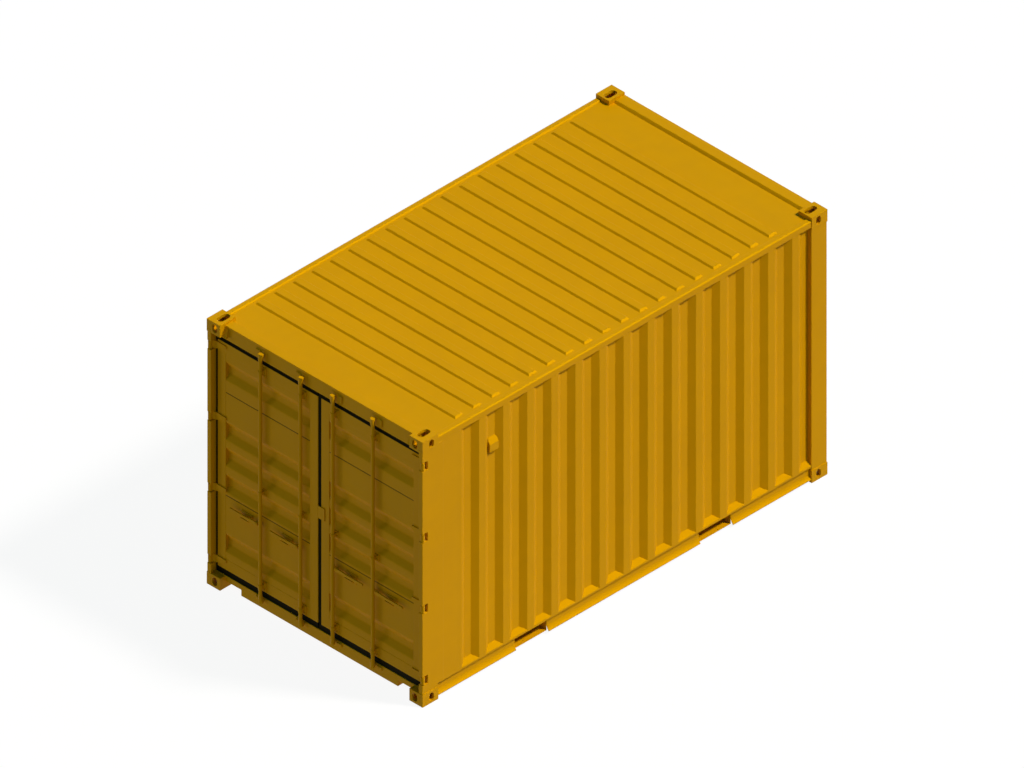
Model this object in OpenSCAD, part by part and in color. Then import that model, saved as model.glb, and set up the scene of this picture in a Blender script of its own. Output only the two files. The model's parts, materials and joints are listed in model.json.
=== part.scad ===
// Steel shipping container with corrugated walls, two hinged cargo doors and four locking bars.
// Millimetres, +Z up. The door end faces -Y and the origin is on the floor under the middle.

/* [Overall size] */
// Length, door end to rear end
length_y = 4572; // [3800:1:6058]
// Width over the corner castings
width_x = 2438; // [2400:1:2500]
// Height over the corner castings
height_z = 2591; // [2500:1:2896]

/* [Corner castings] */
// Casting size along the container
cast_len = 178; // [178:1:190]
// Casting size across the container
cast_wid = 150; // [148:1:162]
// Casting height
cast_hgt = 118; // [116:1:124]
// Casting wall on the faces with apertures
cast_wall = 24; // [18:1:28]
// Casting wall on the blind inner faces
cast_inner_wall = 9; // [6:1:10]
// Length of the top and bottom apertures
slot_len = 124; // [110:0.5:124]
// Width of the top and bottom apertures
slot_wid = 63.5; // [55:0.5:64]
// Aperture centre from the side face
slot_from_side = 89.5; // [84:0.5:92]
// Aperture centre from the end face
slot_from_end = 101.5; // [98:0.5:104]
// Height of the oval holes in the side and end faces
oval_hgt = 79.5; // [72:0.5:82]
// Width of the oval hole in the side face
side_oval_wid = 51; // [44:0.5:56]
// Width of the oval hole in the end face
end_oval_wid = 55; // [44:0.5:64]

/* [Posts and rails] */
// Set-back of the posts and rails behind the casting faces
post_inset = 4; // [2:0.5:6]
// Door post width across the container
door_post_wid = 43; // [40:1:48]
// Depth of the solid front part of the door post
door_post_depth = 110; // [106:1:140]
// Depth to which the door post's side plate runs
door_post_reach = 240; // [200:1:300]
// Thickness of the rear post's two legs
rear_post_leg = 45; // [30:1:60]
// Top of the bottom side rail
rail_top = 150; // [146:1:160]
// Plate thickness of the bottom side rail
rail_plate = 5; // [4:0.5:6]
// Bottom of the bottom side rail
rail_bottom = 30; // [20:1:36]
// Height of the top side rail
top_rail_hgt = 63; // [55:1:70]
// Width of the top side rail
top_rail_wid = 60; // [50:1:70]
// Distance of the top side rail's top below the casting tops
top_rail_drop = 31; // [26:1:36]

/* [Walls and roof] */
// Set-back of the wall sheets behind the casting faces
wall_inset = 8; // [6:0.5:10]
// Wall and roof sheet thickness
sheet = 2.5; // [2:0.5:4]
// Depth of the wall corrugations
corr_depth = 36; // [20:1:40]
// Width of the flat crests and troughs
corr_flat = 76; // [60:1:90]
// Width of each sloping side of a corrugation
corr_slope = 60; // [45:1:70]
// Height of the sloping facet that closes a trough at its foot
corr_foot = 47; // [30:1:60]
// Height of the sloping facet that closes a trough at its head
corr_head = 22; // [15:1:40]
// Start of the first side trough from the door end
first_trough = 450; // [400:1:520]
// Wanted distance between roof ribs
rib_spacing = 208.5; // [170:0.5:240]
// Start of the first roof rib from the door end
first_rib = 455; // [400:1:480]
// End of the last roof rib from the rear end
last_rib = 472.5; // [420:0.5:520]
// Width of a roof rib at its foot
rib_wid = 100; // [80:1:140]
// Height of a roof rib
rib_hgt = 14; // [8:1:16]
// Slope of the roof down from the rails
roof_step = 12; // [8:1:14]

/* [Floor and underframe] */
// Thickness of the floor boards
floor_thick = 28; // [21:1:30]
// Distance between cross members
cross_pitch = 290; // [250:1:330]
// Clear width of a forklift pocket
pocket_wid = 355; // [300:1:370]
// Distance of the forklift pockets from the middle
pocket_from_mid = 1040; // [900:1:1080]
// Plate thickness of the forklift pockets
pocket_plate = 6; // [4:1:8]

/* [Doors] */
// Depth of the door face behind the casting faces
door_face = 55; // [52:1:60]
// Thickness of a door leaf
door_thick = 50; // [46:1:52]
// Bottom of the door leaves
door_bottom = 185; // [180:1:200]
// Gap between a leaf and the post, header or centre line, with its seal
seal_gap = 22; // [20:1:26]
// Clearance of the seals from the frame
seal_clear = 5; // [5:0.5:7]
// Width of a leaf's stiles
stile_wid = 90; // [80:1:100]
// Height of a leaf's top and bottom rails
door_rail = 105; // [90:1:115]
// Depth of the horizontal troughs in a leaf
door_corr_depth = 34; // [20:1:36]
// Height of the flat floor of a leaf's trough
door_trough_flat = 66; // [50:1:80]
// Height of each slope of a leaf's trough
door_trough_slope = 56; // [40:1:60]

/* [Hinges] */
// Hinge pin diameter
pin_dia = 20; // [16:1:22]
// Outer radius of a hinge knuckle
knuckle_r = 18; // [16:0.5:18.5]
// Height of a hinge knuckle
knuckle_hgt = 72; // [60:1:80]
// Radial play of pins and bars in their bores
play = 0.3; // [0.2:0.1:0.5]
// Room above and below a knuckle in its notch
notch_room = 5; // [5:1:8]
// Height of the lowest hinge
first_hinge = 250; // [240:1:280]
// Distance of the highest hinge below the top
last_hinge_drop = 250; // [240:1:280]

/* [Locking gear] */
// Locking bar diameter
bar_dia = 31; // [28:1:34]
// Depth of the bar axes behind the casting faces
bar_depth = 21; // [21:0.5:22]
// Height of a locking cam
cam_hgt = 66; // [50:1:70]
// Height of the handle pivots
handle_z = 842; // [800:1:860]
// Height of a handle at its pivot
handle_hgt = 34; // [28:1:36]

/* [Hidden] */
$fn = 48;

paint = [0.82, 0.59, 0.0];
shade_paint = [0.62, 0.44, 0.0];
rubber = [0.05, 0.05, 0.05];
plywood = [0.62, 0.45, 0.27];
eps = 1;

half_l = length_y / 2;
half_w = width_x / 2;
door_end = -half_l;
cast_top_z = height_z - cast_hgt;
cast_inner_x = half_w - cast_wid;

// Levels of the roof and floor
rail_top_z = height_z - top_rail_drop;
top_rail_bottom = rail_top_z - top_rail_hgt;
roof_z = rail_top_z - roof_step;
rib_run = length_y - first_rib - last_rib - rib_wid;
roof_ribs = round(rib_run / rib_spacing) + 1;
rib_pitch = rib_run / (roof_ribs - 1);
rib_slope = 17;
rib_edge = 24;
vent_drop = 362;
vent_hgt = 150;
vent_hood = 53;
vent_flare = 14;
end_rail_top = height_z - 21;
end_rail_slope = 20;
rear_header_depth = 122;
header_fill = 44;
rail_chamfer = 9;
flange_bottom = rail_top - 4;
rail_set_back = 28;
foot_hgt = 50;
lip_hgt = 8;
floor_top = flange_bottom + floor_thick;
pocket_end = half_w - rail_set_back - 2;

// Door opening
post_x = half_w - post_inset - door_post_wid;
header_bottom = cast_top_z - 38;
sill_top = cast_hgt + 8;
sill_bottom = 16;
sill_notch_len = 184;
sill_notch_hgt = 58;
rear_sill_depth = 60;
header_face = door_face + 2;
stop_depth = door_face + door_thick + 7;
end_frame_depth = stop_depth + 53;
leaf_outer_x = post_x - seal_gap;
leaf_inner_x = 19;
leaf_wid = leaf_outer_x - leaf_inner_x;
door_top = header_bottom - 35;
panel_face = door_face + 2;
panel_sheet = 3;
panel_bottom = door_bottom + door_rail;
panel_top = door_top - door_rail;
trough_tops = [for (f = [0.963, 0.671, 0.544, 0.414, 0.125]) panel_bottom + f * (panel_top - panel_bottom)];
seam_heights = [0.810, 0.309];
seam_depth = 2;

// Hinge axes
hinge_x = half_w - knuckle_r - 1;
hinge_depth = knuckle_r + 2;
notch_depth = hinge_depth + 42;
blade_thick = 10;
blade_reach = 150;
blade_tip = 28;
hinge_pitch = (height_z - last_hinge_drop - first_hinge) / 3;
hinge_heights = [for (i = [0 : 3]) first_hinge + i * hinge_pitch];

// Locking gear, spread over the width of a leaf
inner_bar_x = leaf_inner_x + leaf_wid * 163 / 1131;
outer_bar_x = leaf_inner_x + leaf_wid * 616 / 1131;
handle_len = leaf_wid * 345 / 1131;
bar_bottom = sill_top - 31;
bar_top = header_bottom + 90;
keeper_plate = 4;
cam_reach = door_face - keeper_plate - bar_depth - 1;
cam_inward = cam_reach * 0.93;
cam_rear = cam_reach * 0.79;
cam_outward = 14;
cam_front = 15;
keeper_wid = 118;
keeper_shift = 16;
keeper_lug = 8;
lug_start = 22;
handle_pivot = 42;
handle_thick = 12;
handle_face = 11;
pivot_dia = 12;
bracket_hgt = 84;
mid_bracket_hgt = 60;
catch_from_bar = leaf_wid * 180 / 1131;

// Place along the length at a given depth behind the door end
function at_depth(d) = door_end + d;

// Repeats its children on the other side
module both_sides() {
  children();
  mirror([1, 0, 0]) children();
}

// Box between two corners
module box(low, high) {
  translate(low) cube(high - low);
}

// Plan outline in X and Y, raised between two heights
module raised(z0, z1) {
  translate([0, 0, z0]) linear_extrude(z1 - z0) children();
}

// Section in Y and Z, drawn out along X
module across(x0, x1) {
  translate([x0, 0, 0]) rotate([90, 0, 90]) linear_extrude(x1 - x0) children();
}

// Section in X and Z, drawn out along Y
module along(y0, y1) {
  translate([0, y1, 0]) rotate([90, 0, 0]) linear_extrude(y1 - y0) children();
}

// Round-ended slot of a given length along its own X, cut through along Z
module slot(len, wid, deep) {
  run = len - wid;
  translate([-run / 2, -wid / 2, -deep / 2]) cube([run, wid, deep]);
  for (s = [-1, 1]) translate([s * run / 2, 0, 0]) cylinder(d = wid, h = deep, center = true);
}

// Hollow corner casting at the right of the door end, standing on the floor
module casting() {
  slot_x = half_w - slot_from_side;
  slot_y = door_end + slot_from_end;
  mid_z = cast_hgt / 2;
  difference() {
    box([cast_inner_x, door_end, 0], [half_w, door_end + cast_len, cast_hgt]);
    box([cast_inner_x + cast_inner_wall, door_end + cast_wall, cast_wall],
        [half_w - cast_wall, door_end + cast_len - cast_inner_wall, cast_hgt - cast_inner_wall]);
    translate([slot_x, slot_y, cast_wall / 2]) rotate(90) slot(slot_len, slot_wid, cast_wall + 2 * eps);
    translate([half_w - cast_wall / 2, slot_y, mid_z])
      rotate([0, 90, 0]) slot(oval_hgt, side_oval_wid, cast_wall + 2 * eps);
    translate([slot_x, door_end + cast_wall / 2, mid_z])
      rotate([90, 0, 0]) rotate(90) slot(oval_hgt, end_oval_wid, cast_wall + 2 * eps);
  }
}

// The two castings of one end, at the bottom
module end_castings() {
  color(paint) both_sides() casting();
}

// Turns a bottom piece upside down to the top of the container
module to_top() {
  translate([0, 0, height_z]) mirror([0, 0, 1]) children();
}

// Turns a door end piece round to the rear end
module to_rear() {
  mirror([0, 1, 0]) children();
}

// Door post: deep front part with a notch at each hinge, and a side plate that reaches back to the wall
module door_post() {
  outer_x = half_w - post_inset;
  plate = half_w - wall_inset - sheet;
  difference() {
    union() {
      box([post_x, at_depth(2), cast_hgt], [outer_x, at_depth(door_post_depth), cast_top_z]);
      box([plate, at_depth(door_post_depth), cast_hgt], [outer_x, at_depth(cast_len), cast_top_z]);
      box([plate, at_depth(cast_len), rail_top], [outer_x, at_depth(door_post_reach), top_rail_bottom]);
    }
    for (z = hinge_heights) {
      half = knuckle_hgt / 2 + notch_room;
      box([post_x - eps, door_end - eps, z - half], [half_w + eps, at_depth(notch_depth), z + half]);
    }
  }
}

module door_posts() {
  color(paint) both_sides() door_post();
}

// L-shaped rear post
module rear_posts() {
  outer_x = half_w - post_inset;
  outer_y = half_l - post_inset;
  color(paint) both_sides() raised(cast_hgt, cast_top_z) polygon([
    [outer_x, outer_y], [cast_inner_x, outer_y], [cast_inner_x, outer_y - rear_post_leg],
    [outer_x - rear_post_leg, outer_y - rear_post_leg], [outer_x - rear_post_leg, half_l - cast_len],
    [outer_x, half_l - cast_len]
  ]);
}

// Sloping filler in front of the header beside a top casting
module header_filler() {
  low = at_depth(header_face * 0.35);
  face = at_depth(header_face);
  both_sides() across(cast_inner_x - header_fill, cast_inner_x) polygon([
    [low, cast_top_z], [low, cast_top_z + 4], [face, end_rail_top - 2], [face, cast_top_z]
  ]);
}

// Header over the doors, with the stop behind the leaves
module door_header() {
  back = at_depth(end_frame_depth);
  face = at_depth(header_face);
  stop = at_depth(stop_depth);
  color(paint) {
    across(-cast_inner_x, cast_inner_x) polygon([
      [face, cast_top_z], [face, end_rail_top], [back - end_rail_slope, end_rail_top],
      [back, roof_z], [back, cast_top_z]
    ]);
    across(-post_x, post_x) polygon([
      [face, cast_top_z], [face, header_bottom], [stop, header_bottom], [stop, door_top - 20],
      [back, door_top - 20], [back, cast_top_z]
    ]);
    header_filler();
  }
}

// Sill under the doors, with the stop behind the leaves and a notch beside each casting
module door_sill() {
  back = at_depth(end_frame_depth);
  stop = at_depth(stop_depth);
  face = at_depth(door_face);
  notch_x = cast_inner_x - sill_notch_len;
  notch_top = sill_bottom + sill_notch_hgt;
  color(paint) {
    difference() {
      box([-cast_inner_x, face, sill_bottom], [cast_inner_x, back, cast_hgt]);
      both_sides() box([notch_x, face - eps, sill_bottom - eps], [half_w, back + eps, notch_top]);
    }
    across(-post_x, post_x) polygon([
      [face, cast_hgt], [face, sill_top], [stop, sill_top], [stop, floor_top], [back, floor_top], [back, cast_hgt]
    ]);
  }
}

// Top rail of the rear end
module rear_header() {
  outer = half_l - post_inset + 1;
  inner = outer - rear_header_depth;
  color(paint) across(-cast_inner_x, cast_inner_x) polygon([
    [outer, cast_top_z], [outer, end_rail_top], [inner + end_rail_slope, end_rail_top],
    [inner, roof_z], [inner, cast_top_z]
  ]);
}

// Bottom rail of the rear end
module rear_sill() {
  outer = half_l - post_inset;
  color(paint) across(-cast_inner_x, cast_inner_x) polygon([
    [outer, sill_bottom], [outer, rail_top], [outer - rear_post_leg, rail_top],
    [outer - rear_post_leg, flange_bottom], [outer - rear_sill_depth, flange_bottom],
    [outer - rear_sill_depth, sill_bottom]
  ]);
}

// Bottom side rail: a plate with a curved foot, in three lengths between the castings and forklift pockets
module right_bottom_rail() {
  web = half_w - rail_set_back;
  lip = half_w - post_inset;
  flare = lip - web;
  foot_r = (flare * flare + foot_hgt * foot_hgt) / (2 * flare);
  turn = asin(foot_hgt / foot_r);
  mid_x = web + foot_r;
  mid_z = rail_bottom + lip_hgt + foot_hgt;
  steps = 5;
  face = [for (i = [0 : steps]) let(a = turn * i / steps) [mid_x - foot_r * cos(a), mid_z - foot_r * sin(a)]];
  back_r = foot_r + rail_plate;
  back = [for (i = [steps : -1 : 0]) let(a = turn * i / steps) [mid_x - back_r * cos(a), mid_z - back_r * sin(a)]];
  pocket_half = pocket_wid / 2 + pocket_plate;
  near = pocket_from_mid - pocket_half;
  far = pocket_from_mid + pocket_half;
  outline = concat([[web, flange_bottom]], face, [[lip, rail_bottom], [lip - rail_plate, rail_bottom]], back,
                   [[web - rail_plate, flange_bottom]]);
  color(paint) {
    along(-half_l + cast_len, -far) polygon(outline);
    along(-near, near) polygon(outline);
    along(far, half_l - cast_len) polygon(outline);
  }
}

// Top side rail with a sloping inner edge
module top_side_rail() {
  outer = half_w - post_inset - 1;
  inner = outer - top_rail_wid;
  along(-half_l + cast_len, half_l - cast_len) polygon([
    [outer, top_rail_bottom], [outer, rail_top_z - rail_chamfer], [outer - rail_chamfer, rail_top_z],
    [inner + roof_step, rail_top_z], [inner, roof_z],
    [inner, top_rail_bottom]
  ]);
}

module top_side_rails() {
  color(paint) both_sides() top_side_rail();
}

// Tapered pressing: a rectangle u by v at depth 0 that shrinks by the slopes to the given depth,
// grown outwards by skin. It lies in X (u) and Y (v) and sinks along -Z.
module pressing(u0, u1, v0, v1, du, dv0, dv1, depth, skin) {
  hull() {
    translate([u0 - skin, v0 - skin, 0]) cube([u1 - u0 + 2 * skin, v1 - v0 + 2 * skin, 0.01]);
    translate([u0 + du - skin, v0 + dv0 - skin, -depth - skin])
      cube([u1 - u0 - 2 * du + 2 * skin, v1 - v0 - dv0 - dv1 + 2 * skin, 0.01]);
  }
}

// Corrugated sheet: a flat plate from u 0 to u_end and v 0 to v_end whose troughs start at the given places
module corrugated_sheet(u_end, v_end, starts) {
  trough = 2 * corr_slope + corr_flat;
  foot = 15;
  head = 4;
  difference() {
    union() {
      translate([0, 0, -sheet]) cube([u_end, v_end, sheet]);
      intersection() {
        translate([0, 0, -corr_depth - sheet]) cube([u_end, v_end, corr_depth + sheet]);
        for (u = starts)
          pressing(u, u + trough, foot, v_end - head, corr_slope, corr_foot, corr_head, corr_depth, sheet);
      }
    }
    for (u = starts)
      translate([0, 0, 0.01])
        pressing(u, u + trough, foot, v_end - head, corr_slope, corr_foot, corr_head, corr_depth, 0);
  }
}

// Side wall, drawn flat and stood up against the right side, on the folded foot that lies on the bottom rail
module right_wall() {
  trough = 2 * corr_slope + corr_flat;
  pitch = trough + corr_flat;
  run = length_y - door_post_reach - cast_len;
  first = first_trough - door_post_reach;
  count = floor((run - first - corr_slope) / pitch) + 1;
  color(paint) translate([half_w - wall_inset, at_depth(door_post_reach), rail_top])
    rotate([90, 0, 90])
      corrugated_sheet(run, top_rail_bottom - rail_top, [for (i = [0 : count - 1]) first + i * pitch]);
  color(paint) box([half_w - wall_inset - corr_depth - sheet, at_depth(cast_len), flange_bottom],
                   [half_w - wall_inset, half_l - cast_len, rail_top]);
}

// Rear wall between the rear posts
module rear_wall() {
  trough = 2 * corr_slope + corr_flat;
  pitch = trough + corr_flat;
  run = 2 * cast_inner_x;
  count = floor((run - corr_flat) / pitch);
  first = (run - count * pitch + corr_flat) / 2;
  color(paint) translate([cast_inner_x, half_l - wall_inset - post_inset, rail_top])
    rotate([90, 0, 180])
      corrugated_sheet(run, cast_top_z - rail_top, [for (i = [0 : count - 1]) first + i * pitch]);
}

// Roof sheet with transverse ribs pressed up from below
module roof() {
  edge_x = half_w - post_inset - 1 - top_rail_wid;
  front = at_depth(end_frame_depth);
  rear = half_l - post_inset + 1 - rear_header_depth;
  rib_end = edge_x - rib_edge;
  color(paint) difference() {
    union() {
      box([-cast_inner_x, front, roof_z - sheet], [cast_inner_x, rear, roof_z]);
      box([-edge_x, -half_l + cast_len, roof_z - sheet], [edge_x, half_l - cast_len, roof_z]);
      for (i = [0 : roof_ribs - 1]) roof_rib(i, rib_end, 0);
    }
    for (i = [0 : roof_ribs - 1]) translate([0, 0, -0.01]) roof_rib(i, rib_end, sheet);
  }
}

// One roof rib, or with a skin the hollow under it
module roof_rib(i, rib_end, skin) {
  y0 = at_depth(first_rib + i * rib_pitch);
  translate([0, 0, roof_z - sheet]) mirror([0, 0, 1])
    pressing(-rib_end, rib_end, y0, y0 + rib_wid, rib_slope, rib_slope, rib_slope, rib_hgt + sheet, -skin);
}

// Plywood floor on the cross members
module floor_boards() {
  edge = half_w - max(wall_inset + corr_depth + sheet, post_inset + rear_post_leg) - 2;
  color(plywood) box([-edge, at_depth(end_frame_depth), flange_bottom],
                     [edge, half_l - post_inset - rear_post_leg - 2, floor_top]);
}

// Folded channels that carry the floor between the bottom rails, and the side webs of the forklift pockets
module cross_members() {
  reach = half_w - rail_set_back - rail_plate;
  low = rail_bottom + 10;
  wide = 45;
  plate = 5;
  last = half_l - cast_len - wide - 60;
  bays = round(2 * last / cross_pitch);
  color(shade_paint) for (i = [0 : bays]) {
    y = -last + i * 2 * last / bays;
    if (abs(abs(y) - pocket_from_mid) > pocket_wid / 2 + pocket_plate + wide)
      across(-reach, reach) polygon([
        [y, low], [y + wide, low], [y + wide, low + plate], [y + plate, low + plate],
        [y + plate, flange_bottom - plate], [y + wide, flange_bottom - plate], [y + wide, flange_bottom],
        [y, flange_bottom]
      ]);
  }
  color(shade_paint) for (s = [-1, 1]) for (t = [-1, 1])
    translate([0, s * pocket_from_mid + t * (pocket_wid + pocket_plate) / 2, 0])
      box([-pocket_end, -pocket_plate / 2, rail_bottom], [pocket_end, pocket_plate / 2, flange_bottom]);
}

// Top and bottom plates of the two forklift pockets, right across the underframe
module fork_pockets() {
  half = pocket_wid / 2;
  color(shade_paint) for (s = [-1, 1]) translate([0, s * pocket_from_mid, 0]) {
    box([-pocket_end, -half, rail_bottom], [pocket_end, half, rail_bottom + pocket_plate]);
    box([-pocket_end, -half, flange_bottom - pocket_plate], [pocket_end, half, flange_bottom]);
  }
}

// Keeper behind one bar end: a plate on the end frame with a lug beside the cam, on its outer side
module keeper(x, face, low, high) {
  front = face - keeper_plate;
  end_x = x + keeper_shift + keeper_wid / 2;
  box([end_x - keeper_wid, at_depth(front), low], [end_x, at_depth(face), high]);
  box([x + lug_start, at_depth(front - keeper_lug), low + 10], [end_x, at_depth(face), high - 10]);
}

module bar_keepers() {
  color(paint) both_sides() for (x = [inner_bar_x, outer_bar_x]) {
    keeper(x, header_face, header_bottom + 20, bar_top + 15);
    keeper(x, door_face, bar_bottom - 15, sill_top - 4);
  }
}

// Pins that stand in the notches of the door posts
module hinge_pins() {
  notch = knuckle_hgt + 2 * notch_room;
  color(shade_paint) both_sides() for (z = hinge_heights)
    translate([hinge_x, at_depth(hinge_depth), z - notch / 2]) cylinder(d = pin_dia, h = notch);
}

// Small hooded vent in the second trough of each side wall, which widens with the trough
module wall_vents() {
  pitch = 2 * (corr_slope + corr_flat);
  mid_y = at_depth(first_trough + pitch + corr_slope + corr_flat / 2);
  back = half_w - wall_inset - corr_depth + 0.05;
  face = half_w - wall_inset - 2;
  top = height_z - vent_drop;
  near = corr_flat / 2 - 2;
  wide = near + vent_flare;
  color(paint) both_sides() translate([0, mid_y, 0]) intersection() {
    along(-wide, wide) polygon([
      [back, top - vent_hgt], [face, top - vent_hgt + 24], [face, top - vent_hood], [back, top]
    ]);
    raised(top - vent_hgt, top) polygon([
      [back, -near], [back + vent_flare, -wide], [face, -wide], [face, wide], [back + vent_flare, wide], [back, near]
    ]);
  }
}

// Door leaf frame of the right door
module right_door_frame() {
  front = at_depth(door_face);
  back = at_depth(door_face + door_thick);
  color(paint) difference() {
    box([leaf_inner_x, front, door_bottom], [leaf_outer_x, back, door_top]);
    box([leaf_inner_x + stile_wid, front - eps, panel_bottom], [leaf_outer_x - stile_wid, back + eps, panel_top]);
  }
}

// Front edge of the leaf's sheet, from the bottom up, as depth and height
function trough_points(top) = let(
  low = top - 2 * door_trough_slope - door_trough_flat, d = panel_face, e = panel_face + door_corr_depth)
  [[d, low], [e, low + door_trough_slope], [e, top - door_trough_slope], [d, top]];

function panel_edge() = concat([[panel_face, panel_bottom]],
  [for (i = [len(trough_tops) - 1 : -1 : 0]) each trough_points(trough_tops[i])],
  [[panel_face, panel_top]]);

// Horizontally corrugated sheet in the frame of the right door, with two lap seams
module right_door_panel() {
  edge = panel_edge();
  last = len(edge) - 1;
  seam = 8;
  front = [for (p = edge) [at_depth(p[0]), p[1]]];
  back = [for (i = [last : -1 : 0]) [at_depth(edge[i][0] + panel_sheet), edge[i][1]]];
  color(paint) difference() {
    across(leaf_inner_x + stile_wid, leaf_outer_x - stile_wid) polygon(concat(front, back));
    for (f = seam_heights) {
      z = panel_bottom + f * (panel_top - panel_bottom);
      box([leaf_inner_x, door_end, z], [leaf_outer_x, at_depth(panel_face + seam_depth), z + seam]);
    }
  }
}

// Rubber seal round a leaf, on the side given by the free edge's reach past the middle
module door_seal(free_x) {
  front = at_depth(door_face + 1);
  back = at_depth(door_face + door_thick - 5);
  color(rubber) difference() {
    box([free_x, front, sill_top + seal_clear], [post_x - seal_clear, back, header_bottom - seal_clear]);
    box([leaf_inner_x, front - eps, door_bottom], [leaf_outer_x, back + eps, door_top]);
    if (free_x == leaf_inner_x)
      box([free_x - eps, front - eps, sill_top], [leaf_inner_x + eps, back + eps, header_bottom]);
  }
}

// Tapered hinge blades with their knuckles, on the right door
module right_hinge_blades() {
  hx = hinge_x;
  hy = at_depth(hinge_depth);
  front = at_depth(door_face - blade_thick);
  face = at_depth(door_face);
  half = knuckle_hgt / 2;
  color(paint) for (z = hinge_heights) translate([0, 0, z]) difference() {
    union() {
      translate([hx, hy, -half]) cylinder(r = knuckle_r, h = knuckle_hgt);
      intersection() {
        raised(-half, half) polygon([
          [hx - blade_reach, face], [hx - blade_reach, front], [hx - 32, front], [hx - 16, hy + 9], [hx, hy],
          [hx + 7, hy + 16], [hx - 20, face]
        ]);
        along(door_end, at_depth(door_face + eps)) polygon([
          [hx - blade_reach, half - 2 - blade_tip], [hx - 40, -half], [hx + 20, -half], [hx + 20, half],
          [hx - 40, half], [hx - blade_reach, half - 2]
        ]);
      }
    }
    translate([hx, hy, -half - eps]) cylinder(r = pin_dia / 2 + play, h = knuckle_hgt + 2 * eps);
  }
}

// One bearing that carries a bar in front of the leaf
module bar_bracket(x, z, face, hgt) {
  plate = 8;
  bore_r = bar_dia / 2 + play;
  ring_r = bore_r + 3.2;
  translate([x, 0, z]) difference() {
    union() {
      box([-40, at_depth(face - plate), -hgt / 2], [40, at_depth(face), hgt / 2]);
      box([-ring_r + 3, at_depth(bar_depth), -hgt / 4], [ring_r - 3, at_depth(face - plate), hgt / 4]);
      translate([0, at_depth(bar_depth), -hgt / 4]) cylinder(r = ring_r, h = hgt / 2);
    }
    translate([0, at_depth(bar_depth), -hgt]) cylinder(r = bore_r, h = 2 * hgt);
  }
}

module right_bar_brackets() {
  mid_flat = (trough_tops[3] + trough_tops[2] - 2 * door_trough_slope - door_trough_flat) / 2;
  color(paint) for (x = [inner_bar_x, outer_bar_x]) {
    bar_bracket(x, door_top - door_rail * 0.59, door_face, bracket_hgt);
    bar_bracket(x, mid_flat, panel_face, mid_bracket_hgt);
    bar_bracket(x, door_bottom + door_rail * 0.57, door_face, bracket_hgt);
  }
}

// Catches that carry the handle arms on the right door
module right_handle_catches() {
  ledge = 7;
  ledge_top = handle_z - handle_hgt / 2 - 5;
  color(paint) for (x = [inner_bar_x, outer_bar_x]) translate([x + catch_from_bar, 0, 0]) {
    box([-60, at_depth(panel_face - 8), ledge_top - 40], [60, at_depth(panel_face), ledge_top + 45]);
    box([-42, at_depth(handle_face + 1), ledge_top - ledge], [42, at_depth(panel_face - 8), ledge_top]);
    for (s = [-1, 1]) translate([s * 30, 0, 0]) across(-4, 4) polygon([
      [at_depth(panel_face - 8), ledge_top - ledge], [at_depth(handle_face + 4), ledge_top - ledge],
      [at_depth(panel_face - 8), ledge_top - 36]
    ]);
  }
}

// Plate on the right leaf that covers the meeting edge of the left one
module meeting_plate() {
  mid = height_z / 2 - 16;
  color(paint) box([-11, at_depth(door_face - 8), mid - 60], [62, at_depth(door_face), mid + 60]);
}

// Cam on a bar end: a head that points inward and narrows to the bar. up is 1 at the top of the bar.
module cam(x, z_end, up) {
  z_neck = z_end - up * cam_hgt;
  z_side = z_end - up * cam_hgt * 0.2;
  neck = bar_dia / 2 - 3;
  front = at_depth(bar_depth - cam_front);
  rear = at_depth(bar_depth + cam_rear);
  intersection() {
    along(front, rear) polygon([
      [x - cam_inward, z_end], [x + cam_outward, z_end], [x + cam_outward, z_side],
      [x + neck, z_neck], [x - neck, z_neck], [x - cam_inward, z_side]
    ]);
    across(x - cam_inward, x + cam_outward) polygon([
      [front, z_end], [rear, z_end], [rear, z_side], [at_depth(bar_depth + neck), z_neck],
      [at_depth(bar_depth - neck), z_neck], [front, z_side]
    ]);
    raised(min(z_end, z_neck), max(z_end, z_neck)) polygon([
      [x + cam_outward, front], [x + cam_outward, rear - cam_reach * 0.45], [x + 5, rear],
      [x - cam_reach * 0.6, rear], [x - cam_inward, rear - cam_reach * 0.45], [x - cam_inward, front + 9],
      [x - 12, front]
    ]);
  }
}

// Locking bar with a cam at each end and the lug and pin of its handle
module locking_bar(x) {
  lug_front = handle_face + handle_thick + 1;
  lug_back = lug_front + 10;
  color(paint) {
    translate([x, at_depth(bar_depth), bar_bottom]) cylinder(d = bar_dia, h = bar_top - bar_bottom);
    cam(x, bar_top, 1);
    cam(x, bar_bottom, -1);
    box([x + 8, at_depth(lug_front), handle_z - 20], [x + handle_pivot + 16, at_depth(lug_back), handle_z + 20]);
    translate([x + handle_pivot, at_depth(handle_face - 2), handle_z])
      rotate([-90, 0, 0]) cylinder(d = pivot_dia, h = lug_front + eps - handle_face + 2);
  }
}

// Handle arm with a round eye at its pivot and a narrower grip
module handle(x) {
  eye = handle_hgt / 2;
  grip = handle_hgt * 0.38;
  start = x + handle_pivot;
  tip = x + handle_len;
  color(paint) difference() {
    along(at_depth(handle_face), at_depth(handle_face + handle_thick)) union() {
      translate([start, handle_z]) circle(r = eye);
      polygon([
        [start, handle_z + eye], [start, handle_z - eye], [start + 60, handle_z - eye], [start + 110, handle_z - grip],
        [tip - grip, handle_z - grip], [tip - grip, handle_z + grip], [start + 110, handle_z + grip],
        [start + 60, handle_z + eye]
      ]);
      translate([tip - grip, handle_z]) circle(r = grip);
    }
    translate([start, at_depth(handle_face - eps), handle_z])
      rotate([-90, 0, 0]) cylinder(r = pivot_dia / 2 + play, h = handle_thick + 2 * eps);
  }
}

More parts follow.
